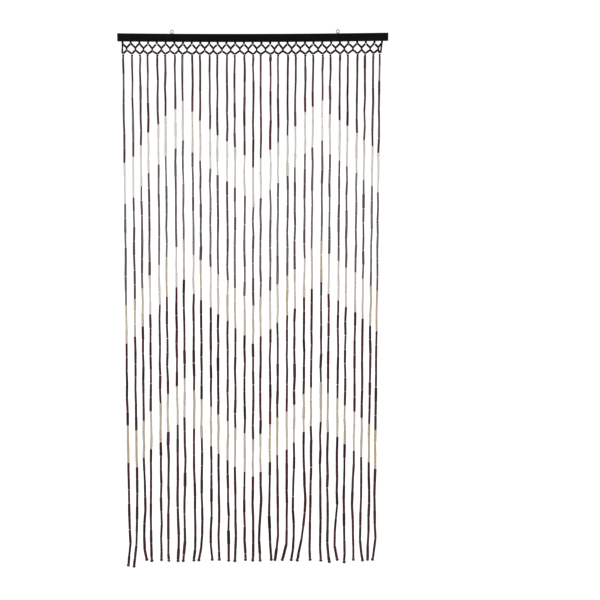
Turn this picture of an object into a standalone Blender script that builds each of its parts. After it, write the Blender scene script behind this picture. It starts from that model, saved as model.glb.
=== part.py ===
"""Bamboo door curtain: strings of bamboo tubes hang from a net of short beads under a wooden rail.

The rail hangs from two screw eyes on its top edge. Units are metres, +Z is up and the front faces -Y.
The origin is in the middle of the rail's back face.
"""

import math
import random
from collections import namedtuple

import bmesh
import bpy
import numpy as np
from mathutils import Matrix, Vector

MM = 0.001
GAP = 0.3 * MM
WELD_DISTANCE = 0.001 * MM
SMOOTH_ANGLE = math.radians(35)

# Rail: a straight-sided batten that has warped a little, lowest left of its middle.
RAIL_LENGTH = 1000 * MM
RAIL_HEIGHT = 28.5 * MM
RAIL_DEPTH = 12 * MM
RAIL_EDGE_ROUND = 1.2 * MM
RAIL_EDGE_STEPS = 2
RAIL_STEPS = 16
WARP = 3.4 * MM
WARP_LOW_X = -78 * MM

# Screw eyes: a wire ring on a shank that goes into a pilot hole in the rail.
EYE_X = {"eye_left": -299 * MM, "eye_right": 314 * MM}
EYE_TURN = {"eye_left": math.radians(15), "eye_right": math.radians(-20)}
EYE_WIRE = 3.6 * MM
EYE_RING_OUTSIDE = 15 * MM
EYE_NECK = 0.5 * MM
EYE_SHANK_LENGTH = 12 * MM
RING_SIDES = 20
WIRE_SIDES = 8
SHANK_SIDES = 12
PILOT_SIDES = 16

# Bead net: a row of diamonds between the string holes in the rail and the heads of the strings.
STRING_Y = -RAIL_DEPTH / 2
HOLE_PITCH = 32.2 * MM
FIRST_HOLE_X = -483.5 * MM
HOLES_DRAWN_IN = {0: 2.5 * MM, 30: -4.5 * MM}
STUB_DROP = 7.5 * MM
CROSS_DROP = 28.6 * MM
HEAD_DROP = 44.8 * MM
NET_BEAD_WIDTH = 6.2 * MM
NET_LAYER = 0.4 * MM

# Strings: bamboo tubes on a cord, with a cut tube at the head and a bead at the foot. They hang in
# pairs, with a lone one near the middle, and those at the ends are drawn in.
STRING_COUNT = 31
PAIR_LEAN = 2 * MM
LONE_STRING = 14
DRAWN_IN = {0: 2 * MM, 1: 7 * MM, 29: -6 * MM, 30: -11 * MM}
FIRST_TUBE_DROP = 52.5 * MM
FOOT_DEPTH = 2004 * MM
FOOT_UNEVENNESS = 4 * MM
LONG_STRINGS = {0: 24 * MM, 1: 24 * MM, 24: 8 * MM, 26: 12 * MM}
SHORTEST_CUT = 8 * MM
JOINT_KINK = 1.3 * MM
STIFF_TUBES = 3

# Tubes and foot beads. The thicker tubes hang lower.
TUBE_WIDTH_HEAD = 6.5 * MM
TUBE_WIDTH_FOOT = 8.6 * MM
TUBE_WIDTH_SPREAD = 0.5 * MM
FOOT_BEAD_WIDTH = 12 * MM
FOOT_BEAD_HEIGHT = 9.5 * MM

# Sections of a foot bead, from the top one down: the height in the bead and the width there, as
# shares of its height and width.
Section = namedtuple("Section", "height width")
FOOT_BEAD_SECTIONS = (Section(0.75, 1.0), Section(0.25, 1.0), Section(0.0, 0.5))

# Zigzag: the depth in mm, from the rail's top edge, of the first pale tube of each band at the
# strings where its line turns. From the top of one band to the next, a string has three pale tubes
# and seven dark ones, but the first string has one dark tube fewer above its third band. A pale tube
# is a little shorter than a dark one: the share is of a string's mean tube.
PALE_TUBES = 3
DARK_TUBES = 7
BAND_PITCH_TUBES = PALE_TUBES + DARK_TUBES
PALE_TUBE_SHARE = 0.945
DARK_TUBE_SHARE = (BAND_PITCH_TUBES - PALE_TUBES * PALE_TUBE_SHARE) / DARK_TUBES
SHORT_STRETCHES = {0: 1}
BAND_UNEVENNESS = 4 * MM
Corner = namedtuple("Corner", "string first second third")
CORNERS = (
    Corner(0, 475, 1005, 1520),
    Corner(1, 452, 985, 1490),
    Corner(3, 360, 890, 1410),
    Corner(7, 245, 755, 1290),
    Corner(8, 285, 815, 1335),
    Corner(10, 350, 860, 1400),
    Corner(13, 410, 945, 1475),
    Corner(15, 485, 1005, 1525),
    Corner(20, 340, 870, 1385),
    Corner(21, 285, 825, 1345),
    Corner(23, 240, 765, 1300),
    Corner(24, 290, 815, 1340),
    Corner(30, 435, 955, 1485),
)

# Sway: strings hang straight to the first sway depth, then waver, and their feet stand aside. The
# last strings on the right lean outwards, the others to the left.
SWAY_DEPTHS = (1450 * MM, 1600 * MM, 1780 * MM, 1930 * MM)
WAVERS = (1.5 * MM, 2.5 * MM, 3 * MM)
FOOT_LEAN = -1 * MM
OUTWARD_LEAN = 4 * MM
OUTWARD_FROM = 22
FOOT_WAVER = 4 * MM

# Strings that stand aside more than the rest, in mm, at the last two sway depths and at the foot.
Swing = namedtuple("Swing", "string sway knee kick")
SWINGS = (
    Swing(0, 3, 6, -4),
    Swing(1, 1, -3, -14),
    Swing(2, 4, -5, 8),
    Swing(3, -5, -4, -2),
    Swing(7, -3, -1, -10),
    Swing(9, 0, 1, -14),
    Swing(16, 3, -7, 0),
    Swing(17, -3, 2, 6),
    Swing(18, 2, 3, -9),
    Swing(19, 1, 2, -18),
    Swing(20, -4, 2, -10),
    Swing(21, 8, -7, -24),
    Swing(24, 1, 1, 10),
    Swing(25, 1, -8, 5),
    Swing(27, -5, 1, 2),
    Swing(28, 0, -2, 10),
    Swing(29, 3, -1, -2),
    Swing(30, -1, 5, -7),
)

# How one string hangs: its place, the depth of its first pale tube, the mean pitch of its tubes
# above and below the second band, the dark tubes above its third band, its foot's depth, and how
# far aside it stands at each sway depth and at its foot.
String = namedtuple("String", "x pale upper lower last_dark foot asides")


def new_collection(name):
    collection = bpy.data.collections.new(name)
    bpy.context.scene.collection.children.link(collection)
    return collection


def new_material(name, color, roughness, metallic=0.0):
    material = bpy.data.materials.new(name)
    material.use_nodes = True
    shader = material.node_tree.nodes["Principled BSDF"]
    shader.inputs["Base Color"].default_value = (*color, 1.0)
    shader.inputs["Roughness"].default_value = roughness
    shader.inputs["Metallic"].default_value = metallic
    material.diffuse_color = (*color, 1.0)
    return material


def add_object(name, mesh, collection, material=None):
    """An object for the mesh, in the collection, with rounded faces shaded smooth."""
    part = bpy.data.objects.new(name, mesh)
    collection.objects.link(part)
    if material:
        mesh.materials.append(material)
    mesh.shade_smooth()
    mesh.set_sharp_from_angle(angle=SMOOTH_ANGLE)
    return part


def hide_cutter(cutter):
    cutter.hide_render = True
    cutter.display_type = "WIRE"
    return cutter


def boolean(part, other, operation):
    modifier = part.modifiers.new(f"{operation.lower()} {other.name}", "BOOLEAN")
    modifier.operation = operation
    modifier.solver = "EXACT"
    modifier.object = other


def cylinder_mesh(name, radius, bottom, top, segments):
    """An upright cylinder between two heights, centred on the Z axis."""
    shape = bmesh.new()
    bmesh.ops.create_cone(
        shape,
        cap_ends=True,
        segments=segments,
        radius1=radius,
        radius2=radius,
        depth=top - bottom,
        matrix=Matrix.Translation((0, 0, (bottom + top) / 2)),
    )
    mesh = bpy.data.meshes.new(name)
    shape.to_mesh(mesh)
    shape.free()
    return mesh


def warp(x):
    """How far the warped rail stands above its lowest place."""
    return WARP * ((x - WARP_LOW_X) / (RAIL_LENGTH / 2)) ** 2


def rail_top(x):
    return RAIL_HEIGHT / 2 + warp(x) - warp(0)


def rail_underside(x):
    return rail_top(x) - RAIL_HEIGHT


def make_rail(collection, cutters, material):
    shape = bmesh.new()
    bmesh.ops.create_cube(shape, size=1.0)
    bmesh.ops.scale(shape, vec=(RAIL_LENGTH, RAIL_DEPTH, RAIL_HEIGHT), verts=shape.verts)
    bmesh.ops.translate(shape, vec=(0, -RAIL_DEPTH / 2, 0), verts=shape.verts)
    long_edges = [
        edge for edge in shape.edges if abs(edge.verts[0].co.x - edge.verts[1].co.x) > RAIL_LENGTH / 2
    ]
    bmesh.ops.subdivide_edges(shape, edges=long_edges, cuts=RAIL_STEPS - 1)
    for vertex in shape.verts:
        vertex.co.z += warp(vertex.co.x) - warp(0)
    mesh = bpy.data.meshes.new("rail")
    shape.to_mesh(mesh)
    shape.free()
    rail = add_object("rail", mesh, collection, material)
    edges = rail.modifiers.new("rounded edges", "BEVEL")
    edges.width = RAIL_EDGE_ROUND
    edges.segments = RAIL_EDGE_STEPS
    edges.limit_method = "ANGLE"
    for name, x in EYE_X.items():
        top = rail_top(x)
        bottom = top - EYE_SHANK_LENGTH - GAP
        mesh = cylinder_mesh(
            f"pilot {name}", EYE_WIRE / 2 + GAP, bottom, top + RAIL_HEIGHT, PILOT_SIDES
        )
        hole = hide_cutter(add_object(mesh.name, mesh, cutters))
        hole.location = (x, STRING_Y, 0)
        boolean(rail, hole, "DIFFERENCE")
    return rail


def make_screw_eye(name, collection, cutters, material):
    """A ring joined to its shank, turned about the shank as it was screwed in."""
    x = EYE_X[name]
    ring_radius = (EYE_RING_OUTSIDE - EYE_WIRE) / 2
    ring_height = rail_top(x) + EYE_NECK + EYE_RING_OUTSIDE / 2
    bpy.ops.mesh.primitive_torus_add(
        major_segments=RING_SIDES,
        minor_segments=WIRE_SIDES,
        major_radius=ring_radius,
        minor_radius=EYE_WIRE / 2,
        location=(x, STRING_Y, ring_height),
        rotation=(math.pi / 2, 0, EYE_TURN[name]),
    )
    eye = bpy.context.object
    eye.name = name
    eye.data.name = name
    for home in list(eye.users_collection):
        home.objects.unlink(eye)
    collection.objects.link(eye)
    eye.data.materials.append(material)
    eye.data.shade_smooth()
    shank_top = ring_height - ring_radius + EYE_WIRE / 4
    mesh = cylinder_mesh(
        f"shank {name}", EYE_WIRE / 2, rail_top(x) - EYE_SHANK_LENGTH, shank_top, SHANK_SIDES
    )
    shank = hide_cutter(add_object(mesh.name, mesh, cutters))
    shank.location = (x, STRING_Y, 0)
    boolean(eye, shank, "UNION")
    return eye


def hole_x(index):
    return FIRST_HOLE_X + index * HOLE_PITCH + HOLES_DRAWN_IN.get(index, 0)


def string_x(index):
    """Where a string hangs. Pairs lean together, and the pairs change sides at the lone string."""
    leans_right = (index % 2 == 0) == (index <= LONE_STRING)
    lean = PAIR_LEAN if leans_right else -PAIR_LEAN
    return FIRST_HOLE_X + index * HOLE_PITCH + lean + DRAWN_IN.get(index, 0)


def band_depth(index, band):
    """How deep one band's line lies at a string, between the corners of the zigzag."""
    numbers = [corner.string for corner in CORNERS]
    depths = [getattr(corner, band) for corner in CORNERS]
    return np.interp(index, numbers, depths) * MM


def hang_string(index):
    """How one string hangs: its bands, its tubes' pitches, its foot, and how far it stands aside."""
    chance = random.Random(f"string {index}")
    first, second, third = (
        band_depth(index, band) + chance.uniform(-1, 1) * BAND_UNEVENNESS
        for band in ("first", "second", "third")
    )
    foot = FOOT_DEPTH + chance.uniform(-1, 1) * FOOT_UNEVENNESS + LONG_STRINGS.get(index, 0)
    bow, sway, knee = (chance.uniform(-1, 1) * waver for waver in WAVERS)
    lean = OUTWARD_LEAN if index >= OUTWARD_FROM else FOOT_LEAN
    kick = lean + chance.uniform(-1, 1) * FOOT_WAVER
    for swing in SWINGS:
        if swing.string == index:
            sway, knee, kick = swing.sway * MM, swing.knee * MM, swing.kick * MM
    upper = (second - first) / BAND_PITCH_TUBES
    lower = (third - second) / BAND_PITCH_TUBES
    last_dark = DARK_TUBES - SHORT_STRETCHES.get(index, 0)
    asides = (0, bow, sway, knee, kick)
    return String(string_x(index), first, upper, lower, last_dark, foot, asides)


def tubes_mesh(name, routes, sides_in_front):
    """A mesh of four-sided tubes, one along each route of (point, width) pairs.

    sides_in_front turns the tubes so that a flat side, not a corner, faces the front.
    """
    curve = bpy.data.curves.new(name, "CURVE")
    curve.dimensions = "3D"
    curve.bevel_depth = MM
    curve.bevel_resolution = 0
    curve.use_fill_caps = True
    for route in routes:
        spline = curve.splines.new("POLY")
        spline.points.add(len(route) - 1)
        for point, (place, width) in zip(spline.points, route):
            point.co = (*place, 1.0)
            half_width = width / 2 / MM
            point.radius = half_width * math.sqrt(2) if sides_in_front else half_width
            point.tilt = math.pi / 4 if sides_in_front else 0.0
    guide = bpy.data.objects.new(f"{name} guide", curve)
    bpy.context.scene.collection.objects.link(guide)
    mesh = bpy.data.meshes.new_from_object(guide.evaluated_get(bpy.context.evaluated_depsgraph_get()))
    mesh.name = name
    bpy.data.objects.remove(guide)
    shape = bmesh.new()
    shape.from_mesh(mesh)
    bmesh.ops.remove_doubles(shape, verts=shape.verts, dist=WELD_DISTANCE)
    shape.to_mesh(mesh)
    shape.free()
    return mesh


def tube_joints(string):
    """The depths of the tubes' ends down one string, from its head to the top of its foot bead."""
    start = RAIL_HEIGHT / 2 - rail_underside(string.x) + FIRST_TUBE_DROP
    end = string.foot - FOOT_BEAD_HEIGHT
    dark = string.upper * DARK_TUBE_SHARE
    whole = int((string.pale - start) / dark)
    depths = [string.pale - dark * step for step in range(whole, -1, -1)]
    if depths[0] - start > SHORTEST_CUT:
        depths.insert(0, start)
    else:
        depths[0] = start
    stretches = ((string.upper, DARK_TUBES), (string.lower, string.last_dark), (string.lower, DARK_TUBES))
    for pitch, dark_tubes in stretches:
        for share in [PALE_TUBE_SHARE] * PALE_TUBES + [DARK_TUBE_SHARE] * dark_tubes:
            depths.append(depths[-1] + pitch * share)
    while depths[-1] < end:
        depths.append(depths[-1] + string.lower * DARK_TUBE_SHARE)
    return [depth for depth in depths if depth < end - SHORTEST_CUT] + [end]


def tube_width(depth):
    """The tubes' middle width at this depth."""
    return TUBE_WIDTH_HEAD + (TUBE_WIDTH_FOOT - TUBE_WIDTH_HEAD) * depth / FOOT_DEPTH


def string_offset(string, depth):
    """How far aside the string stands at this depth."""
    return np.interp(depth, (*SWAY_DEPTHS, string.foot), string.asides)


def string_route(index):
    """The route of one string: its head in the net, its joints, and its foot bead.

    The upper part hangs nearly straight, so it takes a point only at every few joints.
    """
    string = hang_string(index)
    chance = random.Random(index)
    top = RAIL_HEIGHT / 2
    head = rail_underside(string.x) - HEAD_DROP
    route = [(Vector((string.x, STRING_Y, head + NET_BEAD_WIDTH / 2)), NET_BEAD_WIDTH)]
    if index in (0, STRING_COUNT - 1):
        hole = hole_x(index)
        stub = [rail_underside(hole) - drop for drop in (GAP, STUB_DROP)]
        route = [(Vector((hole, STRING_Y, z)), NET_BEAD_WIDTH) for z in stub] + route
    joints = tube_joints(string)
    for number, depth in enumerate(joints):
        kink = Vector((chance.uniform(-1, 1), chance.uniform(-1, 1), 0)) * JOINT_KINK
        width = tube_width(depth) + chance.uniform(-1, 1) * TUBE_WIDTH_SPREAD
        if number % STIFF_TUBES == 0 or depth > SWAY_DEPTHS[0]:
            place = Vector((string.x + string_offset(string, depth), STRING_Y, top - depth))
            route.append((place + kink, width))
    foot_x = string.x + string_offset(string, string.foot)
    foot = top - string.foot
    for section in FOOT_BEAD_SECTIONS:
        place = Vector((foot_x, STRING_Y, foot + section.height * FOOT_BEAD_HEIGHT))
        route.append((place, section.width * FOOT_BEAD_WIDTH))
    return route


def net_route(index, direction):
    """A row of net beads from one hole in the rail, across to the head of the next string."""
    start = hole_x(index)
    layer = STRING_Y + direction * NET_LAYER / 2
    cross = start + direction * HOLE_PITCH / 2
    head = string_x(index + direction)
    underside = rail_underside(start)
    first = underside - (GAP if direction > 0 else STUB_DROP / 2)
    places = [
        (start, first),
        (start, underside - STUB_DROP),
        (cross, rail_underside(cross) - CROSS_DROP),
        (head, rail_underside(head) - HEAD_DROP),
    ]
    return [(Vector((x, layer, z)), NET_BEAD_WIDTH) for x, z in places]


def make_bead_net(collection, cutters, material):
    """All strings and the net that holds their heads, joined into one body."""
    strings = [string_route(index) for index in range(STRING_COUNT)]
    net = add_object("bead_curtain", tubes_mesh("bead_curtain", strings, True), collection, material)
    rightward = [net_route(index, 1) for index in range(STRING_COUNT - 1)]
    leftward = [net_route(index, -1) for index in range(1, STRING_COUNT)]
    for name, routes in (("rightward net beads", rightward), ("leftward net beads", leftward)):
        beads = hide_cutter(add_object(name, tubes_mesh(name, routes, False), cutters))
        boolean(net, beads, "UNION")
    return net


def main():
    for item in list(bpy.data.objects):
        bpy.data.objects.remove(item, do_unlink=True)
    parts = new_collection("bamboo_door_curtain")
    cutters = new_collection("cutters")
    rail_paint = new_material("black_paint", (0.012, 0.011, 0.011), 0.35)
    zinc = new_material("zinc", (0.55, 0.55, 0.54), 0.4, metallic=1.0)
    bamboo = new_material("bamboo", (0.09, 0.035, 0.022), 0.5)
    make_rail(parts, cutters, rail_paint)
    for name in EYE_X:
        make_screw_eye(name, parts, cutters, zinc)
    make_bead_net(parts, cutters, bamboo)


main()
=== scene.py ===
"""Looks for the bamboo door curtain: tubes on cords, the bead net, foot beads and screw eyes.

Units are metres in the CAD's frame: +Z up, the front faces -Y, the origin is in the middle of the
rail's back face. The sizes and the short tables repeat those of the CAD part, which sets them.
"""

import math
import random
from collections import namedtuple

import bpy
import numpy as np
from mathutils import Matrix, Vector


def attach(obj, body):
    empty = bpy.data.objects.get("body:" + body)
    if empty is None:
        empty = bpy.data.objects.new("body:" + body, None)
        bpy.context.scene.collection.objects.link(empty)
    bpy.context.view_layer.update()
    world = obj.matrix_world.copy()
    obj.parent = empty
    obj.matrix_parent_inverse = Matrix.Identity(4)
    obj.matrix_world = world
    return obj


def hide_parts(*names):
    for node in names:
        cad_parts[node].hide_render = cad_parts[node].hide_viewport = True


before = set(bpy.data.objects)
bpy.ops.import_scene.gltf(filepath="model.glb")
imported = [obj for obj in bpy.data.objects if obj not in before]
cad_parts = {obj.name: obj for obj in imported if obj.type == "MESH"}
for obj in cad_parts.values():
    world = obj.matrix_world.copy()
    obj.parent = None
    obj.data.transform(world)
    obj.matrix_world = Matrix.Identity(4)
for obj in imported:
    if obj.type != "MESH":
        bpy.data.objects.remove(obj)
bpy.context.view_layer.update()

MM = 0.001

# Sizes that the CAD part sets, with its functions of the same names below.
RAIL_LENGTH = 1000 * MM
RAIL_HEIGHT = 28.5 * MM
RAIL_DEPTH = 12 * MM
WARP = 3.4 * MM
WARP_LOW_X = -78 * MM
EYE_X = {"eye_left": -299 * MM, "eye_right": 314 * MM}
EYE_TURN = {"eye_left": math.radians(15), "eye_right": math.radians(-20)}
EYE_WIRE = 3.6 * MM
EYE_RING_OUTSIDE = 15 * MM
EYE_NECK = 0.5 * MM
STRING_Y = -RAIL_DEPTH / 2
HOLE_PITCH = 32.2 * MM
FIRST_HOLE_X = -483.5 * MM
HOLES_DRAWN_IN = {0: 2.5 * MM, 30: -4.5 * MM}
HEAD_DROP = 44.8 * MM

# Strings: bamboo tubes on a cord, with a cut tube at the head and a bead at the foot. They hang in
# pairs, with a lone one near the middle, and those at the ends are drawn in.
STRING_COUNT = 31
PAIR_LEAN = 2 * MM
LONE_STRING = 14
DRAWN_IN = {0: 2 * MM, 1: 7 * MM, 29: -6 * MM, 30: -11 * MM}
FIRST_TUBE_DROP = 52.5 * MM
FOOT_DEPTH = 2004 * MM
FOOT_UNEVENNESS = 4 * MM
LONG_STRINGS = {0: 24 * MM, 1: 24 * MM, 24: 8 * MM, 26: 12 * MM}
SHORTEST_CUT = 8 * MM
JOINT_KINK = 1.3 * MM

# Tubes and foot beads. The thicker tubes hang lower.
TUBE_WIDTH_HEAD = 6.5 * MM
TUBE_WIDTH_FOOT = 8.6 * MM
TUBE_WIDTH_SPREAD = 0.5 * MM
FOOT_BEAD_WIDTH = 12 * MM
FOOT_BEAD_HEIGHT = 9.5 * MM

# Zigzag: the depth in mm, from the rail's top edge, of the first pale tube of each band at the
# strings where its line turns. From the top of one band to the next, a string has three pale
# tubes and seven dark ones, but the first string has one dark tube fewer above its third band.
# A pale tube is a little shorter than a dark one: the share is of a string's mean tube.
PALE_TUBES = 3
DARK_TUBES = 7
BAND_PITCH_TUBES = PALE_TUBES + DARK_TUBES
PALE_TUBE_SHARE = 0.945
DARK_TUBE_SHARE = (BAND_PITCH_TUBES - PALE_TUBES * PALE_TUBE_SHARE) / DARK_TUBES
SHORT_STRETCHES = {0: 1}
BAND_UNEVENNESS = 4 * MM
Corner = namedtuple("Corner", "string first second third")
CORNERS = (
    Corner(0, 475, 1005, 1520),
    Corner(1, 452, 985, 1490),
    Corner(3, 360, 890, 1410),
    Corner(7, 245, 755, 1290),
    Corner(8, 285, 815, 1335),
    Corner(10, 350, 860, 1400),
    Corner(13, 410, 945, 1475),
    Corner(15, 485, 1005, 1525),
    Corner(20, 340, 870, 1385),
    Corner(21, 285, 825, 1345),
    Corner(23, 240, 765, 1300),
    Corner(24, 290, 815, 1340),
    Corner(30, 435, 955, 1485),
)

# Sway: strings hang straight to the first sway depth, then waver, and their feet stand aside. The
# last strings on the right lean outwards, the others to the left.
SWAY_DEPTHS = (1450 * MM, 1600 * MM, 1780 * MM, 1930 * MM)
WAVERS = (1.5 * MM, 2.5 * MM, 3 * MM)
FOOT_LEAN = -1 * MM
OUTWARD_LEAN = 4 * MM
OUTWARD_FROM = 22
FOOT_WAVER = 4 * MM

# Strings that stand aside more than the rest, in mm, at the last two sway depths and at the foot.
Swing = namedtuple("Swing", "string sway knee kick")
SWINGS = (
    Swing(0, 3, 6, -4),
    Swing(1, 1, -3, -14),
    Swing(2, 4, -5, 8),
    Swing(3, -5, -4, -2),
    Swing(7, -3, -1, -10),
    Swing(9, 0, 1, -14),
    Swing(16, 3, -7, 0),
    Swing(17, -3, 2, 6),
    Swing(18, 2, 3, -9),
    Swing(19, 1, 2, -18),
    Swing(20, -4, 2, -10),
    Swing(21, 8, -7, -24),
    Swing(24, 1, 1, 10),
    Swing(25, 1, -8, 5),
    Swing(27, -5, 1, 2),
    Swing(28, 0, -2, 10),
    Swing(29, 3, -1, -2),
    Swing(30, -1, 5, -7),
)

# How one string hangs: its place, the depth of its first pale tube, the mean pitch of its tubes
# above and below the second band, the dark tubes above its third band, its foot's depth, and how
# far aside it stands at each sway depth and at its foot.
String = namedtuple("String", "x pale upper lower last_dark foot asides")

# Tones: the part of its material's ramp that the tubes of each pale band and each dark stretch
# take, and how much of a tube's tone all tubes of its string and stretch share. The two dark
# stretches above the second band take the lighter, greyer part of the dark ramp: a painted sheen
# of light over the upper part of the curtain, not a stain.
TONE_AND_SHEEN_RANGES = {
    "pale": ((0.0, 0.55), (0.25, 0.95), (0.5, 1.0)),
    "dark": ((0.12, 1.0), (0.62, 1.0), (0.04, 0.62), (0.0, 0.58)),
}
MOOD_SHARE = {"pale": 0.75, "dark": 0.45}

# Ramps: each stop's place and its linear colour. Dark tubes go from near black over wine red and
# brown to mauve and grey, pale ones from white over straw to amber. The dark ramp's mauve and grey
# stops, past 0.62, are taken only by the two upper dark stretches, as painted sheen.
DARK_TONES = (
    (0.0, (0.014, 0.009, 0.009)),
    (0.18, (0.036, 0.016, 0.017)),
    (0.26, (0.075, 0.014, 0.022)),
    (0.31, (0.115, 0.017, 0.030)),
    (0.36, (0.110, 0.034, 0.038)),
    (0.42, (0.062, 0.034, 0.033)),
    (0.60, (0.082, 0.054, 0.052)),
    (0.67, (0.172, 0.080, 0.094)),
    (0.75, (0.124, 0.100, 0.098)),
    (0.86, (0.186, 0.169, 0.164)),
    (1.0, (0.272, 0.258, 0.250)),
)
PALE_TONES = (
    (0.0, (0.68, 0.677, 0.67)),
    (0.35, (0.575, 0.565, 0.545)),
    (0.6, (0.54, 0.505, 0.455)),
    (0.8, (0.46, 0.42, 0.36)),
    (1.0, (0.50, 0.37, 0.22)),
)
NET_TONES = (
    (0.0, (0.006, 0.005, 0.005)),
    (0.5, (0.012, 0.007, 0.007)),
    (0.8, (0.026, 0.009, 0.010)),
    (1.0, (0.040, 0.029, 0.027)),
)
BEAD_TONES = (
    (0.0, (0.060, 0.036, 0.036)),
    (0.5, (0.105, 0.056, 0.054)),
    (1.0, (0.130, 0.098, 0.094)),
)
# Cord: the dark end of the ramp is painted shade in the grooves between the twisted strands.
CORD_TONES = (
    (0.0, (0.16, 0.12, 0.085)),
    (0.6, (0.46, 0.39, 0.30)),
)

# Tubes: drawn a little fuller than the solids, whose corners stand out, with rounded rims, a bore
# and, on some, a knot. Places are shares of a tube's length.
LOOKS_SEED = 1000
TUBE_SIDES = 12
TUBE_FULLNESS = 1.09
TUBE_UNEVENNESS = 0.12
THICK_SHARE = 0.12
THICK_FACTOR = 1.14
TUBE_BORE = 2.8 * MM
TUBE_TAPER = 0.045
TUBE_BOW = 0.3 * MM
TUBE_OVAL = 0.05
TUBE_SKEW = 0.07
SKEW_POWER = 5                 # keeps a slanting cut close to the tube's ends
RIM_ROUND = 0.28 * MM
RIM_CUT = 0.6                  # how much of the cut wood's colour a rounded rim shows
BORE_CHAMFER = 0.12 * MM
BORE_CHAMFER_DEPTH = 0.6 * MM
SKIN_PLACES = (0.07, 0.33, 0.65, 0.93)
WEAR_REACH = 4 * MM
KNOT_PLACES = (0.12, 0.2, 0.5, 0.8, 0.88)
KNOT_SHARE = 0.16
KNOT_HEIGHT = 0.32 * MM
KNOT_SPREAD = 1.5 * MM

# Gaps beside a joint: the least one, the widest one at the head, and the widest one's growth for
# each metre down. A string's first tube hangs a little under its head bead.
JOINT_GAP = 0.15 * MM
JOINT_GAP_WIDEST = 0.3 * MM
JOINT_GAP_GROWTH = 0.75 * MM
HEAD_GAP = (0.3 * MM, 0.9 * MM)

# Turned beads. The nearest two foot beads stand just clear of each other.
BARREL_PLACES = (0.0, 0.05, 0.17, 0.33, 0.5, 0.67, 0.83, 0.95, 1.0)
BARREL_BORE_PLACES = (0.985, 0.5, 0.015)
BARREL_RIM = 0.5 * MM
BARREL_POWER = 0.65
FOOT_BEAD_SIDES = 20
FOOT_BEAD_FULLNESS = 1.06
FOOT_BEAD_WIDTHS = (0.95, 1.04)
FOOT_BEAD_HEIGHTS = (0.86, 0.95)
FOOT_BEAD_GAP = 0.4 * MM

# Cords, and the knot under a foot bead: how far below its middle, and the radius there, in mm.
CORD_SIDES = 6
CORD_WIDTH = 1.3 * MM
CORD_KNOT_DROP = 0.6 * MM
KnotRing = namedtuple("KnotRing", "below radius")
CORD_KNOT_RINGS = (
    KnotRing(-1.4, 0.7),
    KnotRing(-0.9, 1.5),
    KnotRing(0.0, 1.9),
    KnotRing(0.9, 1.5),
    KnotRing(1.3, 0.5),
)

# Net: a stub under each hole ends in a node, and two slanted beads go from there to the crossings
# on both sides. A short bead stands in each crossing, and slanted ones go on to the heads.
NET_SEED = 77
NET_SIDES = 10
NET_BORE = 2.3 * MM
NET_OVAL = 0.04
NET_SKEW = 0.08
NET_KNOT_SHARE = 0.05
NET_BEAD_WIDTH = 6.2 * MM
SLANTED_BEAD_WIDTH = 7.2 * MM
STUB_BEAD_WIDTH = 7.8 * MM
NODE_DROP = 7.5 * MM
NODE_UNEVENNESS = 1 * MM
CROSSING_TOP_DROP = 24.1 * MM
CROSSING_LENGTH = 8.5 * MM
CROSSING_ASIDE = 1.2 * MM
CROSSING_TOP_UNEVENNESS = 1.5 * MM
CROSSING_LENGTH_UNEVENNESS = 1 * MM
CORD_IN_RAIL = 1.5 * MM
STUB_LAYERS = (-0.55 * MM, 0.55 * MM)
BACK_LAYER = 0.9 * MM
NET_SLACK = (1.6 * MM, 5.0 * MM)
LOWER_SLACK_LESS = 1.5 * MM
STUB_TRIM = 1.7 * MM
STUB_OVERLAP = 0.2 * MM
CROSSING_TRIM = 0.8 * MM
CROSSING_OVERLAP = 0.4 * MM
HEAD_TRIM = 1.2 * MM
END_BEAD_ASIDE = 3.5 * MM
END_BEAD_TRIMS = (0.6 * MM, 0.4 * MM)
LOW_END_BEAD_TRIMS = (0.4 * MM, 1.0 * MM)
HEAD_BEAD_SIDES = 14
HEAD_BEAD_REACH = 1.2 * MM     # how far a head bead hangs below the string's first joint
HEAD_BEAD_LENGTHS = (5.8 * MM, 7.2 * MM)
HEAD_BEAD_WIDTHS = (7.0 * MM, 8.4 * MM)

# Screw eyes: the wire's places down the shank. Its ring starts a little past the lowest place of
# its circle and stops a little short of it.
SHANK_DEPTHS = (10 * MM, 6 * MM, 2 * MM, -0.5 * MM)
RING_STARTS_PAST = math.radians(14)
RING_STOPS_SHORT = math.radians(12)
RING_STEPS = 30
EYE_WIRE_SIDES = 14

# Meshes are shaded sharp at edges over these angles. A body's own side direction is worked out from
# a guide direction that none of them follows.
TURNED_SHARP_ANGLE = math.radians(50)
CORD_SHARP_ANGLE = math.radians(70)
TURNED_GUIDE = (0.2, 1.0, 0.1)
CORD_GUIDE = (0.1, 1.0, 0.05)

# Scales of the noises in the materials, for each metre along the three axes. A tube's grain runs
# along its own third axis, and the rail's along X.
FIBRE_SCALE = (2600, 2600, 42)
THREAD_SCALE = (7000, 7000, 130)
TUBE_CLOUD_SCALE = (420, 420, 95)
CUT_PORE_SCALE = (5200, 5200, 300)
FLUFF_SCALE = (3, 3, 3000)
CORD_TWIST = 2600.0
RAIL_GRAIN_SCALE = (9, 420, 420)
RAIL_PORE_SCALE = (60, 2600, 2600)
RAIL_CLOUD_SCALE = (14, 60, 60)
DULL_SCALE = (900, 900, 900)
FINE_SCALE = (4200, 4200, 4200)
FLOOR_SCALE = (0.7, 0.7, 0.7)

# A Mix node's sockets for colours, which share their names with its other sockets.
MIX_FACTOR, MIX_FIRST, MIX_SECOND = 0, 6, 7
MIX_RESULT = 2

# Camera, as it stood for the photograph.
CAMERA_DISTANCE = 4.0
CAMERA_TILT = math.radians(5.57)
CAMERA_AIM_Y = -0.01
CAMERA_AIM_Z = -0.972
CAMERA_LENS = 63.5
SENSOR_WIDTH = 36.0
FRAME_PIXELS = 600
CENTRE_PIXEL = 252.75          # the photograph's column that the curtain's middle plane stands in

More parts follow.
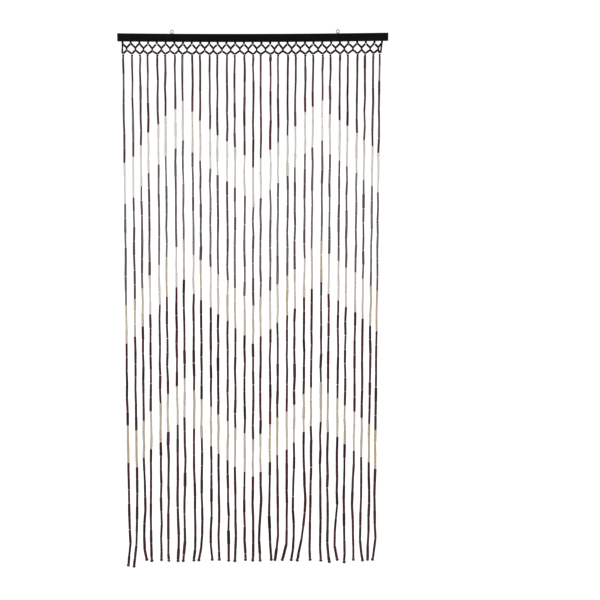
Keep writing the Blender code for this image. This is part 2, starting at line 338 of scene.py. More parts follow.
# Studio: a round floor that bends up far behind the camera, a soft key light and a white sky.
FLOOR_Z = -2.10
FLOOR_RADII = (0.5, 2.0, 4.0, 5.5, 7.0)
FLOOR_SIDES = 72
BEND_RADIUS = 2.0
BEND_STEPS = 9
SKY_STRENGTH = 1.05
KEY_PLACE = (-2.2, -3.4, 1.9)
KEY_AIM = (0, 0, -1.0)
KEY_POWER = 32.0
KEY_SIZE = 2.4
DISPLAY_GAMMA = 0.8


def warp(x):
    """How far the warped rail stands above its lowest place."""
    return WARP * ((x - WARP_LOW_X) / (RAIL_LENGTH / 2)) ** 2


def rail_top(x):
    return RAIL_HEIGHT / 2 + warp(x) - warp(0)


def rail_underside(x):
    return rail_top(x) - RAIL_HEIGHT


def hole_x(index):
    return FIRST_HOLE_X + index * HOLE_PITCH + HOLES_DRAWN_IN.get(index, 0)


def string_x(index):
    """Where a string hangs. Pairs lean together, and the pairs change sides at the lone string."""
    leans_right = (index % 2 == 0) == (index <= LONE_STRING)
    lean = PAIR_LEAN if leans_right else -PAIR_LEAN
    return FIRST_HOLE_X + index * HOLE_PITCH + lean + DRAWN_IN.get(index, 0)


def band_depth(index, band):
    """How deep one band's line lies at a string, between the corners of the zigzag."""
    numbers = [corner.string for corner in CORNERS]
    depths = [getattr(corner, band) for corner in CORNERS]
    return np.interp(index, numbers, depths) * MM


def hang_string(index):
    """How one string hangs: its bands, its tubes' pitches, its foot and its sway."""
    chance = random.Random(f"string {index}")
    first, second, third = (
        band_depth(index, band) + chance.uniform(-1, 1) * BAND_UNEVENNESS
        for band in ("first", "second", "third")
    )
    foot = FOOT_DEPTH + chance.uniform(-1, 1) * FOOT_UNEVENNESS + LONG_STRINGS.get(index, 0)
    bow, sway, knee = (chance.uniform(-1, 1) * waver for waver in WAVERS)
    lean = OUTWARD_LEAN if index >= OUTWARD_FROM else FOOT_LEAN
    kick = lean + chance.uniform(-1, 1) * FOOT_WAVER
    for swing in SWINGS:
        if swing.string == index:
            sway, knee, kick = swing.sway * MM, swing.knee * MM, swing.kick * MM
    upper = (second - first) / BAND_PITCH_TUBES
    lower = (third - second) / BAND_PITCH_TUBES
    last_dark = DARK_TUBES - SHORT_STRETCHES.get(index, 0)
    asides = (0, bow, sway, knee, kick)
    return String(string_x(index), first, upper, lower, last_dark, foot, asides)


def tube_joints(string):
    """The depths of the tubes' ends down one string, from its head to the top of its foot bead."""
    start = RAIL_HEIGHT / 2 - rail_underside(string.x) + FIRST_TUBE_DROP
    end = string.foot - FOOT_BEAD_HEIGHT
    dark = string.upper * DARK_TUBE_SHARE
    whole = int((string.pale - start) / dark)
    depths = [string.pale - dark * step for step in range(whole, -1, -1)]
    if depths[0] - start > SHORTEST_CUT:
        depths.insert(0, start)
    else:
        depths[0] = start
    stretches = (
        (string.upper, DARK_TUBES),
        (string.lower, string.last_dark),
        (string.lower, DARK_TUBES),
    )
    for pitch, dark_tubes in stretches:
        for share in [PALE_TUBE_SHARE] * PALE_TUBES + [DARK_TUBE_SHARE] * dark_tubes:
            depths.append(depths[-1] + pitch * share)
    while depths[-1] < end:
        depths.append(depths[-1] + string.lower * DARK_TUBE_SHARE)
    return [depth for depth in depths if depth < end - SHORTEST_CUT] + [end]


def tube_width(depth):
    """The tubes' middle width at this depth."""
    return TUBE_WIDTH_HEAD + (TUBE_WIDTH_FOOT - TUBE_WIDTH_HEAD) * depth / FOOT_DEPTH


def string_offset(string, depth):
    """How far aside the string stands at this depth."""
    return np.interp(depth, (*SWAY_DEPTHS, string.foot), string.asides)


def band_of(string, depth):
    """The pale band (0, 1 or 2) that a tube at this depth belongs to, or how many are above it."""
    second = string.pale + string.upper * BAND_PITCH_TUBES
    tubes_between = PALE_TUBES * PALE_TUBE_SHARE + string.last_dark * DARK_TUBE_SHARE
    third = second + string.lower * tubes_between
    bands = ((string.pale, string.upper), (second, string.lower), (third, string.lower))
    passed = 0
    for band, (start, pitch) in enumerate(bands):
        if start <= depth < start + PALE_TUBES * PALE_TUBE_SHARE * pitch:
            return "pale", band
        if depth >= start:
            passed = band + 1
    return "dark", passed


def unit(vector):
    return vector / np.linalg.norm(vector)


def new_piece(name, places, faces, values, sharp_angle, material):
    """An object for the mesh, with the values at its points that its material reads."""
    mesh = bpy.data.meshes.new(name)
    mesh.from_pydata(places.tolist(), [], faces)
    for label, numbers in values.items():
        numbers = np.asarray(numbers, dtype=np.float32)
        kind, field = ("FLOAT", "value") if numbers.ndim == 1 else ("FLOAT_VECTOR", "vector")
        layer = mesh.attributes.new(label, kind, "POINT")
        layer.data.foreach_set(field, numbers.ravel())
    mesh.shade_smooth()
    mesh.set_sharp_from_angle(angle=sharp_angle)
    mesh.materials.append(material)
    made = bpy.data.objects.new(name, mesh)
    bpy.context.scene.collection.objects.link(made)
    return made


def ring_faces(below, above):
    """Four-sided faces between rings of point numbers."""
    corners = [below, np.roll(below, -1, axis=1), np.roll(above, -1, axis=1), above]
    return np.stack(corners, axis=-1).reshape(-1, 4)


class Turnings:
    """Closed bodies of revolution, gathered into one mesh, with the values their material reads."""

    def __init__(self):
        self.places = []
        self.faces = []
        self.values = {"tone": [], "wear": [], "cut": [], "ring": [], "grain": []}
        self.count = 0

    def add(self, start, end, profile, tone, chance, sides=TUBE_SIDES, bow=0.0, oval=0.0, skew=0.0):
        """One body from start to end. The profile's rows are along, radius, wear, cut and ring,
        with along as a share of the length, and they run round the wall from outside to bore."""
        start, end = np.array(start), np.array(end)
        length = np.linalg.norm(end - start)
        axis = (end - start) / length
        side = unit(np.cross(axis, TURNED_GUIDE))
        front = np.cross(axis, side)
        turn, oval_turn, skew_turn, bow_turn = (chance.uniform(0, math.tau) for _ in range(4))
        angles = turn + np.arange(sides) * math.tau / sides
        along = profile[:, 0]
        radius = profile[:, 1][:, None] * (1 + oval * np.cos(2 * angles - oval_turn)[None, :])
        local_x = radius * np.cos(angles)[None, :]
        local_y = radius * np.sin(angles)[None, :]
        slant = skew * (local_x * math.cos(skew_turn) + local_y * math.sin(skew_turn))
        slant = slant * ((2 * along - 1) ** SKEW_POWER)[:, None]
        local_z = along[:, None] * length + slant
        bulge = bow * 4 * along * (1 - along)
        local_x = local_x + (bulge * math.cos(bow_turn))[:, None]
        local_y = local_y + (bulge * math.sin(bow_turn))[:, None]
        places = (
            start
            + local_x[..., None] * side
            + local_y[..., None] * front
            + local_z[..., None] * axis
        )
        rings = len(profile)
        self.places.append(places.reshape(-1, 3))
        number = self.count + np.arange(rings * sides).reshape(rings, sides)
        self.faces.append(ring_faces(number, np.roll(number, -1, axis=0)))
        self.count += rings * sides
        drift = np.array([chance.uniform(-1, 1) for _ in range(3)])
        grain = np.stack([local_x, local_y, local_z], axis=-1) + drift
        self.values["grain"].append(grain.reshape(-1, 3))
        for name, column in (("wear", 2), ("cut", 3), ("ring", 4)):
            self.values[name].append(np.repeat(profile[:, column], sides))
        self.values["tone"].append(np.full(rings * sides, tone))

    def piece(self, name, material):
        faces = np.concatenate(self.faces).tolist()
        values = {label: np.concatenate(parts) for label, parts in self.values.items()}
        places = np.concatenate(self.places)
        return new_piece(name, places, faces, values, TURNED_SHARP_ANGLE, material)


class Cords:
    """Round cords or wires through points, gathered into one mesh."""

    def __init__(self, sides=CORD_SIDES):
        self.sides = sides
        self.places = []
        self.faces = []
        self.grain = []
        self.count = 0

    def add(self, points, radii):
        """One cord through the points, closed at its ends, with one radius or one at each point."""
        points = np.array(points)
        steps = np.diff(points, axis=0)
        headings = np.vstack([steps[:1], steps[:-1] + steps[1:], steps[-1:]])
        headings /= np.linalg.norm(headings, axis=1)[:, None]
        side = np.cross(headings, CORD_GUIDE)
        side /= np.linalg.norm(side, axis=1)[:, None]
        front = np.cross(headings, side)
        angles = np.arange(self.sides) * math.tau / self.sides
        count = len(points)
        radii = np.broadcast_to(np.array(radii, dtype=float), (count,))
        rings = (
            points[:, None, :]
            + radii[:, None, None] * np.cos(angles)[None, :, None] * side[:, None, :]
            + radii[:, None, None] * np.sin(angles)[None, :, None] * front[:, None, :]
        )
        number = self.count + np.arange(count * self.sides).reshape(count, self.sides)
        self.places.append(rings.reshape(-1, 3))
        self.faces += ring_faces(number[:-1], number[1:]).tolist()
        self.faces += [number[0][::-1].tolist(), number[-1].tolist()]
        run = np.concatenate([[0.0], np.cumsum(np.linalg.norm(steps, axis=1))])
        round_x = np.tile(np.cos(angles), (count, 1))
        round_y = np.tile(np.sin(angles), (count, 1))
        down = np.repeat(run[:, None], self.sides, axis=1)
        self.grain.append(np.stack([round_x, round_y, down], axis=-1).reshape(-1, 3))
        self.count += count * self.sides

    def piece(self, name, material):
        values = {"grain": np.concatenate(self.grain)}
        return new_piece(
            name, np.concatenate(self.places), self.faces, values, CORD_SHARP_ANGLE, material
        )


def tube_profile(length, width, bore, chance, knot_share=KNOT_SHARE):
    """The wall of a cut bamboo tube: skin, rounded rims, cut ends and bore."""
    radius = width / 2
    taper = chance.uniform(-TUBE_TAPER, TUBE_TAPER)
    knot_height = KNOT_HEIGHT if chance.random() < knot_share else 0.0
    knot = chance.choice(KNOT_PLACES)
    spread = KNOT_SPREAD / length
    rim = RIM_ROUND / length
    outside = [(0.0, radius - RIM_ROUND, 1.0, RIM_CUT, 0.0), (rim, radius, 1.0, 0.0, 0.0)]
    for along in sorted([*SKIN_PLACES, knot - spread, knot, knot + spread]):
        swell = knot_height if along == knot else 0.0
        wear = max(0.0, 1 - min(along, 1 - along) * length / WEAR_REACH)
        outside.append((along, radius + swell, wear, 0.0, 1.0 if swell else 0.0))
    outside += [(1 - rim, radius, 1.0, 0.0, 0.0), (1.0, radius - RIM_ROUND, 1.0, RIM_CUT, 0.0)]
    outside = np.array(outside)
    # The rims of the thinnest tubes aren't tapered, so that their walls get no thinner there.
    tapered = outside[:, 1] > bore
    outside[tapered, 1] *= 1 + taper * (2 * outside[tapered, 0] - 1)
    chamfer = BORE_CHAMFER_DEPTH / length
    inside = [
        (1.0, bore / 2 + BORE_CHAMFER, 0.0, 1.0, 0.0),
        (1 - chamfer, bore / 2, 0.0, 1.0, 0.0),
        (chamfer, bore / 2, 0.0, 1.0, 0.0),
        (0.0, bore / 2 + BORE_CHAMFER, 0.0, 1.0, 0.0),
    ]
    return np.vstack([outside, inside])


def bead_profile(width, bore):
    """The wall of a turned wooden bead: a barrel with a bore."""
    least = bore / 2 + BARREL_RIM
    rows = []
    for along in BARREL_PLACES:
        belly = math.sqrt(max(0.0, 1 - (2 * along - 1) ** 2))
        radius = least + (width / 2 - least) * belly**BARREL_POWER
        rows.append((along, radius, 1 - belly, 0.0, 0.0))
    rows += [(along, bore / 2, 0.0, 1.0, 0.0) for along in BARREL_BORE_PLACES]
    return np.array(rows)


def plug(tree, socket, value):
    """Link a node's output to the socket, or set the socket to a plain value."""
    if isinstance(value, bpy.types.NodeSocket):
        tree.links.new(value, socket)
    else:
        socket.default_value = value


def add_node(tree, kind, inputs):
    """A node with its inputs set, each to a value or to another node's output."""
    made = tree.nodes.new(kind)
    for socket, value in inputs.items():
        plug(tree, made.inputs[socket], value)
    return made


def attribute(tree, name, output="Fac"):
    made = tree.nodes.new("ShaderNodeAttribute")
    made.attribute_name = name
    return made.outputs[output]


def object_place(tree):
    return tree.nodes.new("ShaderNodeTexCoord").outputs["Object"]


def scaled(tree, vector, scale):
    made = add_node(tree, "ShaderNodeVectorMath", {0: vector, 1: scale})
    made.operation = "MULTIPLY"
    return made.outputs["Vector"]


def noise(tree, vector, scale, detail=2.0, roughness=0.5):
    made = add_node(
        tree,
        "ShaderNodeTexNoise",
        {
            "Vector": scaled(tree, vector, scale),
            "Scale": 1.0,
            "Detail": detail,
            "Roughness": roughness,
        },
    )
    return made.outputs["Fac"]


def remap(tree, value, source, target):
    """The value moved from one (low, high) range to another, and kept within it."""
    made = add_node(
        tree,
        "ShaderNodeMapRange",
        {
            "Value": value,
            "From Min": source[0],
            "From Max": source[1],
            "To Min": target[0],
            "To Max": target[1],
        },
    )
    return made.outputs["Result"]


def maths(tree, operation, first, second=0.0):
    made = add_node(tree, "ShaderNodeMath", {0: first, 1: second})
    made.operation = operation
    return made.outputs["Value"]


def mix(tree, factor, first, second, blend="MIX"):
    """Two colours mixed, each of them a node's output or a plain colour."""
    made = tree.nodes.new("ShaderNodeMix")
    made.data_type = "RGBA"
    made.blend_type = blend
    plug(tree, made.inputs[MIX_FACTOR], factor)
    for socket, color in ((MIX_FIRST, first), (MIX_SECOND, second)):
        plug(tree, made.inputs[socket], (*color, 1.0) if isinstance(color, tuple) else color)
    return made.outputs[MIX_RESULT]


def ramp(tree, value, stops):
    """A colour ramp with (place, colour) stops."""
    made = add_node(tree, "ShaderNodeValToRGB", {"Fac": value})
    elements = made.color_ramp.elements
    for _ in range(len(stops) - len(elements)):
        elements.new(0.5)
    for element, (place, color) in zip(elements, stops):
        element.position = place
        element.color = (*color, 1.0)
    return made.outputs["Color"]


def new_material(name):
    """A material with its node tree and its Principled shader."""
    material = bpy.data.materials.new(name)
    material.use_nodes = True
    return material, material.node_tree, material.node_tree.nodes["Principled BSDF"]


def connect(tree, shader, color, roughness):
    tree.links.new(color, shader.inputs["Base Color"])
    tree.links.new(roughness, shader.inputs["Roughness"])


def connect_bump(tree, shader, height, depth, strength):
    inputs = {"Height": height, "Distance": depth, "Strength": strength}
    bump = add_node(tree, "ShaderNodeBump", inputs)
    tree.links.new(bump.outputs["Normal"], shader.inputs["Normal"])


def bamboo_material(name, tones, streak, worn, cut, ring, roughness, specular):
    """Bamboo: lengthwise fibres over a tone for each tube, worn rims, cut ends and growth rings."""
    material, tree, shader = new_material(name)
    grain = attribute(tree, "grain", "Vector")
    fibres = noise(tree, grain, FIBRE_SCALE, detail=4.0, roughness=0.6)
    threads = noise(tree, grain, THREAD_SCALE)
    clouds = noise(tree, grain, TUBE_CLOUD_SCALE, detail=3.0)
    color = ramp(tree, attribute(tree, "tone"), tones)
    color = mix(tree, remap(tree, fibres, (0.42, 0.72), (0.0, 0.55)), color, streak, "MULTIPLY")
    color = mix(tree, remap(tree, clouds, (0.35, 0.7), (0.0, 0.35)), color, streak, "MULTIPLY")
    color = mix(tree, remap(tree, threads, (0.58, 0.75), (0.0, 0.4)), color, worn)
    patches = remap(tree, clouds, (0.35, 0.6), (0.15, 0.75))
    color = mix(tree, maths(tree, "MULTIPLY", attribute(tree, "wear"), patches), color, worn)
    color = mix(tree, maths(tree, "MULTIPLY", attribute(tree, "ring"), 0.7), color, ring)
    pores = remap(tree, noise(tree, grain, CUT_PORE_SCALE), (0.4, 0.62), (0.5, 1.0))
    cut_color = mix(tree, pores, tuple(0.45 * channel for channel in cut), cut)
    color = mix(tree, attribute(tree, "cut"), color, cut_color)
    rough = remap(tree, fibres, (0.3, 0.8), (roughness - 0.08, roughness + 0.14))
    rough = maths(tree, "ADD", rough, maths(tree, "MULTIPLY", attribute(tree, "cut"), 0.3))
    height = maths(tree, "ADD", fibres, maths(tree, "MULTIPLY", threads, 0.4))
    connect(tree, shader, color, rough)
    connect_bump(tree, shader, height, depth=0.12 * MM, strength=0.6)
    shader.inputs["Specular IOR Level"].default_value = specular
    return material


def cord_material():
    """Twisted cotton cord, with painted shade in the grooves between its strands."""
    material, tree, shader = new_material("cord_cotton")
    grain = attribute(tree, "grain", "Vector")
    parts = add_node(tree, "ShaderNodeSeparateXYZ", {0: grain})
    angle = maths(tree, "ARCTAN2", parts.outputs["Y"], parts.outputs["X"])
    along = maths(tree, "MULTIPLY", parts.outputs["Z"], CORD_TWIST)
    twist = maths(tree, "ADD", maths(tree, "MULTIPLY", angle, 2.0), along)
    strands = maths(tree, "ABSOLUTE", maths(tree, "SINE", twist))
    fluff = noise(tree, grain, FLUFF_SCALE, detail=3.0)
    # The grooves between the strands take the ramp's dark end: painted shade.
    color = ramp(tree, strands, CORD_TONES)
    color = mix(tree, remap(tree, fluff, (0.4, 0.7), (0.0, 0.4)), color, (0.30, 0.24, 0.17))
    connect(tree, shader, color, remap(tree, fluff, (0.3, 0.7), (0.75, 0.9)))
    connect_bump(tree, shader, strands, depth=0.15 * MM, strength=0.8)
    shader.inputs["Sheen Weight"].default_value = 0.15
    return material


def edge_nearness(tree, place):
    """How near the rail's long edges a place is: 2 at an edge. It follows the rail's warp."""
    parts = add_node(tree, "ShaderNodeSeparateXYZ", {0: place})
    from_low = maths(tree, "SUBTRACT", parts.outputs["X"], WARP_LOW_X)
    reach = maths(tree, "DIVIDE", from_low, RAIL_LENGTH / 2)
    lift = maths(tree, "MULTIPLY", maths(tree, "MULTIPLY", reach, reach), WARP)
    height = maths(tree, "SUBTRACT", maths(tree, "ADD", parts.outputs["Z"], warp(0)), lift)
    near_top = maths(tree, "DIVIDE", maths(tree, "ABSOLUTE", height), RAIL_HEIGHT / 2)
    depth = maths(tree, "ADD", parts.outputs["Y"], RAIL_DEPTH / 2)
    near_face = maths(tree, "DIVIDE", maths(tree, "ABSOLUTE", depth), RAIL_DEPTH / 2)
    return maths(tree, "ADD", near_top, near_face)


def rail_material():
    """Black paint over a planed wooden batten, thinner along its edges."""
    material, tree, shader = new_material("rail_black_paint")
    place = object_place(tree)
    grain = noise(tree, place, RAIL_GRAIN_SCALE, detail=5.0, roughness=0.62)
    pores = noise(tree, place, RAIL_PORE_SCALE)
    clouds = noise(tree, place, RAIL_CLOUD_SCALE, detail=3.0)
    cloudy = remap(tree, clouds, (0.35, 0.7), (0.0, 1.0))
    color = mix(tree, cloudy, (0.0030, 0.0028, 0.0028), (0.0070, 0.0062, 0.0060))
    color = mix(tree, remap(tree, grain, (0.5, 0.75), (0.0, 0.5)), color, (0.013, 0.011, 0.010))
    color = mix(tree, remap(tree, pores, (0.62, 0.74), (0.0, 0.7)), color, (0.003, 0.003, 0.003))
    uneven = maths(tree, "ADD", edge_nearness(tree, place), maths(tree, "MULTIPLY", clouds, 0.06))
    rubbed = remap(tree, uneven, (1.93, 1.99), (0.0, 0.45))
    color = mix(tree, rubbed, color, (0.055, 0.040, 0.030))
    bumps = maths(tree, "SUBTRACT", grain, maths(tree, "MULTIPLY", pores, 0.3))
    connect(tree, shader, color, remap(tree, grain, (0.3, 0.75), (0.30, 0.50)))
    connect_bump(tree, shader, bumps, depth=0.25 * MM, strength=0.55)
    shader.inputs["Specular IOR Level"].default_value = 0.1
    return material


def zinc_material():
    """Zinc-plated wire, dulled in places."""
    material, tree, shader = new_material("zinc_wire")
    place = object_place(tree)
    dull = noise(tree, place, DULL_SCALE, detail=4.0)
    fine = noise(tree, place, FINE_SCALE)
    patches = remap(tree, dull, (0.35, 0.65), (0.0, 1.0))
    color = mix(tree, patches, (0.52, 0.52, 0.51), (0.33, 0.33, 0.33))
    connect(tree, shader, color, remap(tree, dull, (0.35, 0.7), (0.26, 0.5)))
    connect_bump(tree, shader, fine, depth=0.05 * MM, strength=0.4)
    shader.inputs["Metallic"].default_value = 1.0
    return material


def floor_material():
    """The studio's pale seamless floor."""
    material, tree, shader = new_material("studio_floor")
    soft = noise(tree, object_place(tree), FLOOR_SCALE)
    color = mix(tree, soft, (0.93, 0.93, 0.93), (0.95, 0.95, 0.945))
    connect(tree, shader, color, remap(tree, soft, (0.0, 1.0), (0.75, 0.85)))
    shader.inputs["Emission Color"].default_value = (1.0, 1.0, 1.0, 1.0)
    shader.inputs["Emission Strength"].default_value = 0.12
    return material


def make_materials():
    """The materials of the tubes, the net, the foot beads and the screw eyes."""
    dark = bamboo_material(
        "bamboo_stained", DARK_TONES, streak=(0.50, 0.42, 0.42), worn=(0.120, 0.070, 0.052),
        cut=(0.060, 0.036, 0.024), ring=(0.012, 0.008, 0.008), roughness=0.46, specular=0.2,
    )
    net = bamboo_material(
        "bamboo_net", NET_TONES, streak=(0.50, 0.42, 0.42), worn=(0.050, 0.030, 0.024),
        cut=(0.035, 0.022, 0.016), ring=(0.008, 0.006, 0.006), roughness=0.5, specular=0.15,
    )
    bead = bamboo_material(
        "wood_bead", BEAD_TONES, streak=(0.6, 0.5, 0.48), worn=(0.12, 0.065, 0.045),
        cut=(0.05, 0.03, 0.02), ring=(0.02, 0.012, 0.01), roughness=0.4, specular=0.3,
    )
    pale = bamboo_material(
        "bamboo_natural", PALE_TONES, streak=(0.80, 0.75, 0.67), worn=(0.55, 0.49, 0.40),
        cut=(0.50, 0.40, 0.27), ring=(0.30, 0.22, 0.14), roughness=0.42, specular=0.3,
    )
    return {"dark": dark, "net": net, "bead": bead, "pale": pale, "zinc": zinc_material()}


def tube_places(index, string):
    """Where each joint of one string is, in the CAD's own random order, with its tubes' widths."""
    chance = random.Random(index)
    places, widths = [], []
    for depth in tube_joints(string):
        kink = Vector((chance.uniform(-1, 1), chance.uniform(-1, 1), 0)) * JOINT_KINK
        widths.append(chance.uniform(-1, 1))
        x = string.x + string_offset(string, depth)
        places.append((depth, Vector((x, STRING_Y, RAIL_HEIGHT / 2 - depth)) + kink))
    return places, widths


def tube_tone(kind, group, mood, chance):
    """A place in the material's tones: partly the string's mood, partly the tube's own."""
    low, high = TONE_AND_SHEEN_RANGES[kind][group]
    share = MOOD_SHARE[kind]
    return low + (high - low) * (share * mood + (1 - share) * chance.random())


def thread_tubes(groups, string, places, widths, chance):
    """The tubes of one string, each put in the group of its band or stretch."""
    moods = {key: chance.random() for key in groups}
    for number in range(len(places) - 1):
        (depth, upper), (next_depth, lower) = places[number], places[number + 1]
        kind, group = band_of(string, (depth + next_depth) / 2)
        width = tube_width(depth) * TUBE_FULLNESS + widths[number] * TUBE_WIDTH_SPREAD
        width *= 1 + TUBE_UNEVENNESS * chance.uniform(-1, 1)
        if chance.random() < THICK_SHARE:
            width *= THICK_FACTOR
        widest = JOINT_GAP_WIDEST + JOINT_GAP_GROWTH * depth
        gap_above, gap_below = (chance.uniform(JOINT_GAP, widest) for _ in range(2))
        if number == 0:
            gap_above = HEAD_BEAD_REACH + chance.uniform(*HEAD_GAP)
        span = (lower - upper).normalized()
        start = upper + span * gap_above
        end = lower - span * gap_below
        profile = tube_profile((end - start).length, width, TUBE_BORE, chance)
        tone = tube_tone(kind, group, moods[kind, group], chance)
        bow, oval, skew = (chance.uniform(0, most) for most in (TUBE_BOW, TUBE_OVAL, TUBE_SKEW))
        groups[kind, group].add(start, end, profile, tone, chance, bow=bow, oval=oval, skew=skew)


def hang_foot_bead(beads, cords, string, points, chance):
    """The cord of one string with its foot bead, and the knot that the bead rests on."""
    last = points[-1]
    foot_x = string.x + string_offset(string, string.foot)
    foot = Vector((foot_x, STRING_Y, RAIL_HEIGHT / 2 - string.foot))
    down = (foot - last).normalized()
    width = FOOT_BEAD_WIDTH * FOOT_BEAD_FULLNESS * chance.uniform(*FOOT_BEAD_WIDTHS)
    start = last + down * FOOT_BEAD_GAP
    end = start + down * FOOT_BEAD_HEIGHT * chance.uniform(*FOOT_BEAD_HEIGHTS)
    profile = bead_profile(width, TUBE_BORE)
    beads.add(start, end, profile, chance.random(), chance, sides=FOOT_BEAD_SIDES)
    head = Vector((string.x, STRING_Y, rail_underside(string.x) - HEAD_DROP))
    cords.add([head, *points, end], CORD_WIDTH / 2)
    knot = end + down * CORD_KNOT_DROP
    knot_points = [knot + down * ring.below * MM for ring in CORD_KNOT_RINGS]
    cords.add(knot_points, [ring.radius * MM for ring in CORD_KNOT_RINGS])


def make_strings(materials, cords):
    """The tubes of all strings, in one piece for each dark stretch and each pale band, on cords."""
    groups = {
        (kind, number): Turnings()
        for kind in ("dark", "pale")
        for number in range(len(TONE_AND_SHEEN_RANGES[kind]))
    }
    beads = Turnings()
    for index in range(STRING_COUNT):
        string = hang_string(index)
        chance = random.Random(LOOKS_SEED + index)
        places, widths = tube_places(index, string)
        thread_tubes(groups, string, places, widths, chance)
        hang_foot_bead(beads, cords, string, [place for _, place in places], chance)
    made = []
    for (kind, number), turnings in groups.items():
        piece = turnings.piece(f"{kind}_tubes_{number + 1}", materials[kind])
        made.append((piece, f"{kind}_bamboo"))
    made.append((beads.piece("foot_beads", materials["bead"]), "dark_bamboo"))
    return made


def net_places(chance):
    """The net's nodes under the holes, the heads of the strings, and the crossings' ends."""
    nodes, heads, crossings = [], [], []
    for index in range(STRING_COUNT):
        x = hole_x(index)
        drop = NODE_DROP + chance.uniform(-1, 1) * NODE_UNEVENNESS
        aside = chance.uniform(-1, 1) * NODE_UNEVENNESS
        nodes.append(Vector((x + aside, STRING_Y, rail_underside(x) - drop)))
        head_x = string_x(index)
        heads.append(Vector((head_x, STRING_Y, rail_underside(head_x) - HEAD_DROP)))
    for index in range(STRING_COUNT - 1):
        middle = (hole_x(index) + hole_x(index + 1)) / 2 + chance.uniform(-1, 1) * CROSSING_ASIDE
        drop = CROSSING_TOP_DROP - chance.uniform(-1, 1) * CROSSING_TOP_UNEVENNESS
        top = rail_underside(middle) - drop
        low = top - CROSSING_LENGTH + chance.uniform(-1, 1) * CROSSING_LENGTH_UNEVENNESS
        crossings.append((Vector((middle, STRING_Y, top)), Vector((middle, STRING_Y, low))))
    return nodes, heads, crossings


def make_net(material, cords):
    """The net of short beads between the rail and the heads of the strings."""
    chance = random.Random(NET_SEED)
    beads = Turnings()

    def short_bead(start, end, trim_start, trim_end, width):
        """A short tube between two places, less a trim at each end."""
        span = (end - start).normalized()
        near, far = start + span * trim_start, end - span * trim_end
        profile = tube_profile((far - near).length, width, NET_BORE, chance, NET_KNOT_SHARE)
        tone = chance.random()
        beads.add(near, far, profile, tone, chance, sides=NET_SIDES, oval=NET_OVAL, skew=NET_SKEW)

    def slanted_pair(node, top, low, head):
        """Two slanted beads: from a node to a crossing, and from the crossing on to a head."""
        short_bead(node, top, chance.uniform(*NET_SLACK), CROSSING_TRIM, SLANTED_BEAD_WIDTH)
        slack = chance.uniform(*NET_SLACK) - LOWER_SLACK_LESS
        short_bead(low, head, slack, HEAD_TRIM, SLANTED_BEAD_WIDTH)

    nodes, heads, crossings = net_places(chance)
    for index, (node, head) in enumerate(zip(nodes, heads)):
        x = hole_x(index)
        hole = Vector((x, STRING_Y, rail_underside(x) + CORD_IN_RAIL))
        for layer in STUB_LAYERS:
            aside = Vector((0, layer, 0))
            cords.add([hole + aside, node + aside], CORD_WIDTH / 2)
        short_bead(hole, node, STUB_TRIM, -STUB_OVERLAP, STUB_BEAD_WIDTH)
        if index > 0:
            top, low = crossings[index - 1]
            slanted_pair(node, top, low, head)
            cords.add([node, top, low, heads[index - 1]], CORD_WIDTH / 2)
        if index < STRING_COUNT - 1:
            top, low = crossings[index]
            slanted_pair(node, top, low, head)
            back = Vector((0, BACK_LAYER, 0))
            route = [place + back for place in (node, top, low, heads[index + 1])]
            cords.add(route, CORD_WIDTH / 2)
        if index in (0, STRING_COUNT - 1):
            end = head + Vector((END_BEAD_ASIDE if index else -END_BEAD_ASIDE, 0, 0))
            middle = (node + end) / 2
            cords.add([node, middle, end, head], CORD_WIDTH / 2)
            short_bead(node, middle, *END_BEAD_TRIMS, NET_BEAD_WIDTH)
            short_bead(middle, end, *LOW_END_BEAD_TRIMS, NET_BEAD_WIDTH)
    for top, low in crossings:
        short_bead(top, low, -CROSSING_OVERLAP, -CROSSING_OVERLAP, NET_BEAD_WIDTH)
    for head in heads:
        drop = FIRST_TUBE_DROP + HEAD_BEAD_REACH
        bottom = Vector((head.x, STRING_Y, rail_underside(head.x) - drop))
        top = bottom + Vector((0, 0, chance.uniform(*HEAD_BEAD_LENGTHS)))
        profile = bead_profile(chance.uniform(*HEAD_BEAD_WIDTHS), NET_BORE)
        beads.add(top, bottom, profile, chance.random(), chance, sides=HEAD_BEAD_SIDES)
    return [(beads.piece("net_beads", material), "dark_bamboo")]


def make_screw_eye(node, material):
    """One wire, screwed in as a shank and bent round into an eye that nearly meets the shank."""
    x = EYE_X[node]
    ring_radius = (EYE_RING_OUTSIDE - EYE_WIRE) / 2
    centre = Vector((x, STRING_Y, rail_top(x) + EYE_NECK + EYE_RING_OUTSIDE / 2))
    across = Vector((math.cos(EYE_TURN[node]), math.sin(EYE_TURN[node]), 0))
    up = Vector((0, 0, 1))
    points = [Vector((x, STRING_Y, rail_top(x) - depth)) for depth in SHANK_DEPTHS]
    start = -math.pi / 2 + RING_STARTS_PAST
    arc = math.tau - RING_STARTS_PAST - RING_STOPS_SHORT
    for step in range(RING_STEPS + 1):
        angle = start + arc * step / RING_STEPS
        points.append(centre + ring_radius * (math.cos(angle) * across + math.sin(angle) * up))
    wire = Cords(sides=EYE_WIRE_SIDES)
    wire.add(points, EYE_WIRE / 2)
    return wire.piece(node.replace("eye_", "screw_eye_"), material)


def make_camera():
    data = bpy.data.cameras.new("camera")
    data.lens = CAMERA_LENS
    data.sensor_width = SENSOR_WIDTH
    data.shift_x = (FRAME_PIXELS / 2 - CENTRE_PIXEL) / FRAME_PIXELS
    camera = bpy.data.objects.new("camera", data)
    bpy.context.scene.collection.objects.link(camera)
    camera.location = (
        0,
        CAMERA_AIM_Y - CAMERA_DISTANCE * math.cos(CAMERA_TILT),
        CAMERA_AIM_Z + CAMERA_DISTANCE * math.sin(CAMERA_TILT),
    )
    camera.rotation_euler = (math.pi / 2 - CAMERA_TILT, 0, 0)
    bpy.context.scene.camera = camera


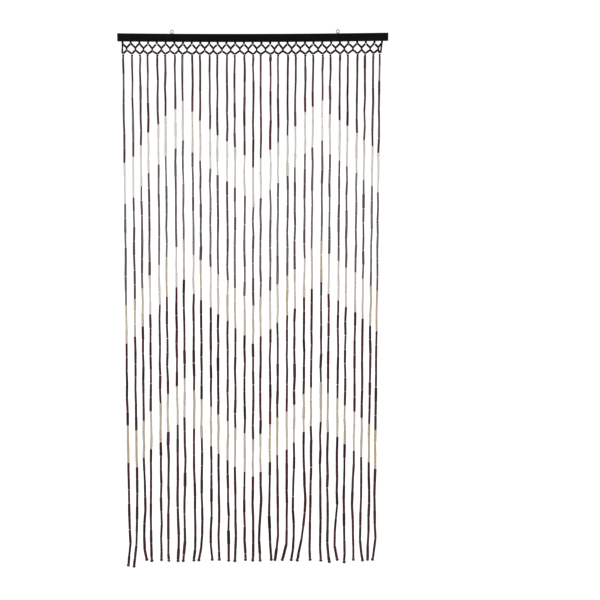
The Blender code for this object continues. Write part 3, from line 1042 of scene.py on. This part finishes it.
def make_floor():
    """A round floor that curves up at its rim, far behind the camera."""
    rim_radius = FLOOR_RADII[-1]
    profile = [(radius, 0.0) for radius in FLOOR_RADII]
    for step in range(1, BEND_STEPS + 1):
        angle = math.pi / 2 * step / BEND_STEPS
        rise = BEND_RADIUS * (1 - math.cos(angle))
        profile.append((rim_radius + BEND_RADIUS * math.sin(angle), rise))
    places = [(0.0, 0.0, FLOOR_Z)]
    for radius, height in profile:
        for side in range(FLOOR_SIDES):
            angle = math.tau * side / FLOOR_SIDES
            places.append((radius * math.cos(angle), radius * math.sin(angle), FLOOR_Z + height))
    faces = [(0, 1 + side, 1 + (side + 1) % FLOOR_SIDES) for side in range(FLOOR_SIDES)]
    for ring in range(len(profile) - 1):
        inner = 1 + ring * FLOOR_SIDES
        outer = inner + FLOOR_SIDES
        for side in range(FLOOR_SIDES):
            after = (side + 1) % FLOOR_SIDES
            faces.append((inner + side, outer + side, outer + after, inner + after))
    mesh = bpy.data.meshes.new("studio_floor")
    mesh.from_pydata(places, [], faces)
    mesh.shade_smooth()
    mesh.materials.append(floor_material())
    floor = bpy.data.objects.new("studio_floor", mesh)
    bpy.context.scene.collection.objects.link(floor)


def make_studio():
    """The floor, a soft key light from the left and a white sky."""
    scene = bpy.context.scene
    scene.view_settings.view_transform = "Standard"
    scene.view_settings.look = "None"
    scene.view_settings.gamma = DISPLAY_GAMMA
    world = bpy.data.worlds.new("studio")
    world.use_nodes = True
    sky = world.node_tree.nodes["Background"]
    sky.inputs["Color"].default_value = (1.0, 1.0, 1.0, 1.0)
    sky.inputs["Strength"].default_value = SKY_STRENGTH
    scene.world = world
    make_floor()
    data = bpy.data.lights.new("key", "AREA")
    data.energy = KEY_POWER
    data.size = KEY_SIZE
    lamp = bpy.data.objects.new("key", data)
    scene.collection.objects.link(lamp)
    lamp.location = KEY_PLACE
    beam = Vector(KEY_AIM) - Vector(KEY_PLACE)
    lamp.rotation_euler = beam.to_track_quat("-Z", "Y").to_euler()
    lamp.visible_camera = False


def main():
    materials = make_materials()
    cords = Cords()
    pieces = make_strings(materials, cords)
    pieces += make_net(materials["net"], cords)
    pieces.append((cords.piece("cords", cord_material()), "dark_bamboo"))
    for piece, slot in pieces:
        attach(piece, "root")
        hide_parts("bead_curtain")
    for node in EYE_X:
        eye = make_screw_eye(node, materials["zinc"])
        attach(eye, "root")
        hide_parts(node)
    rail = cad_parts["rail"]
    paint = rail_material()
    for slot in rail.material_slots:
        slot.material = paint
    make_studio()
    make_camera()


main()
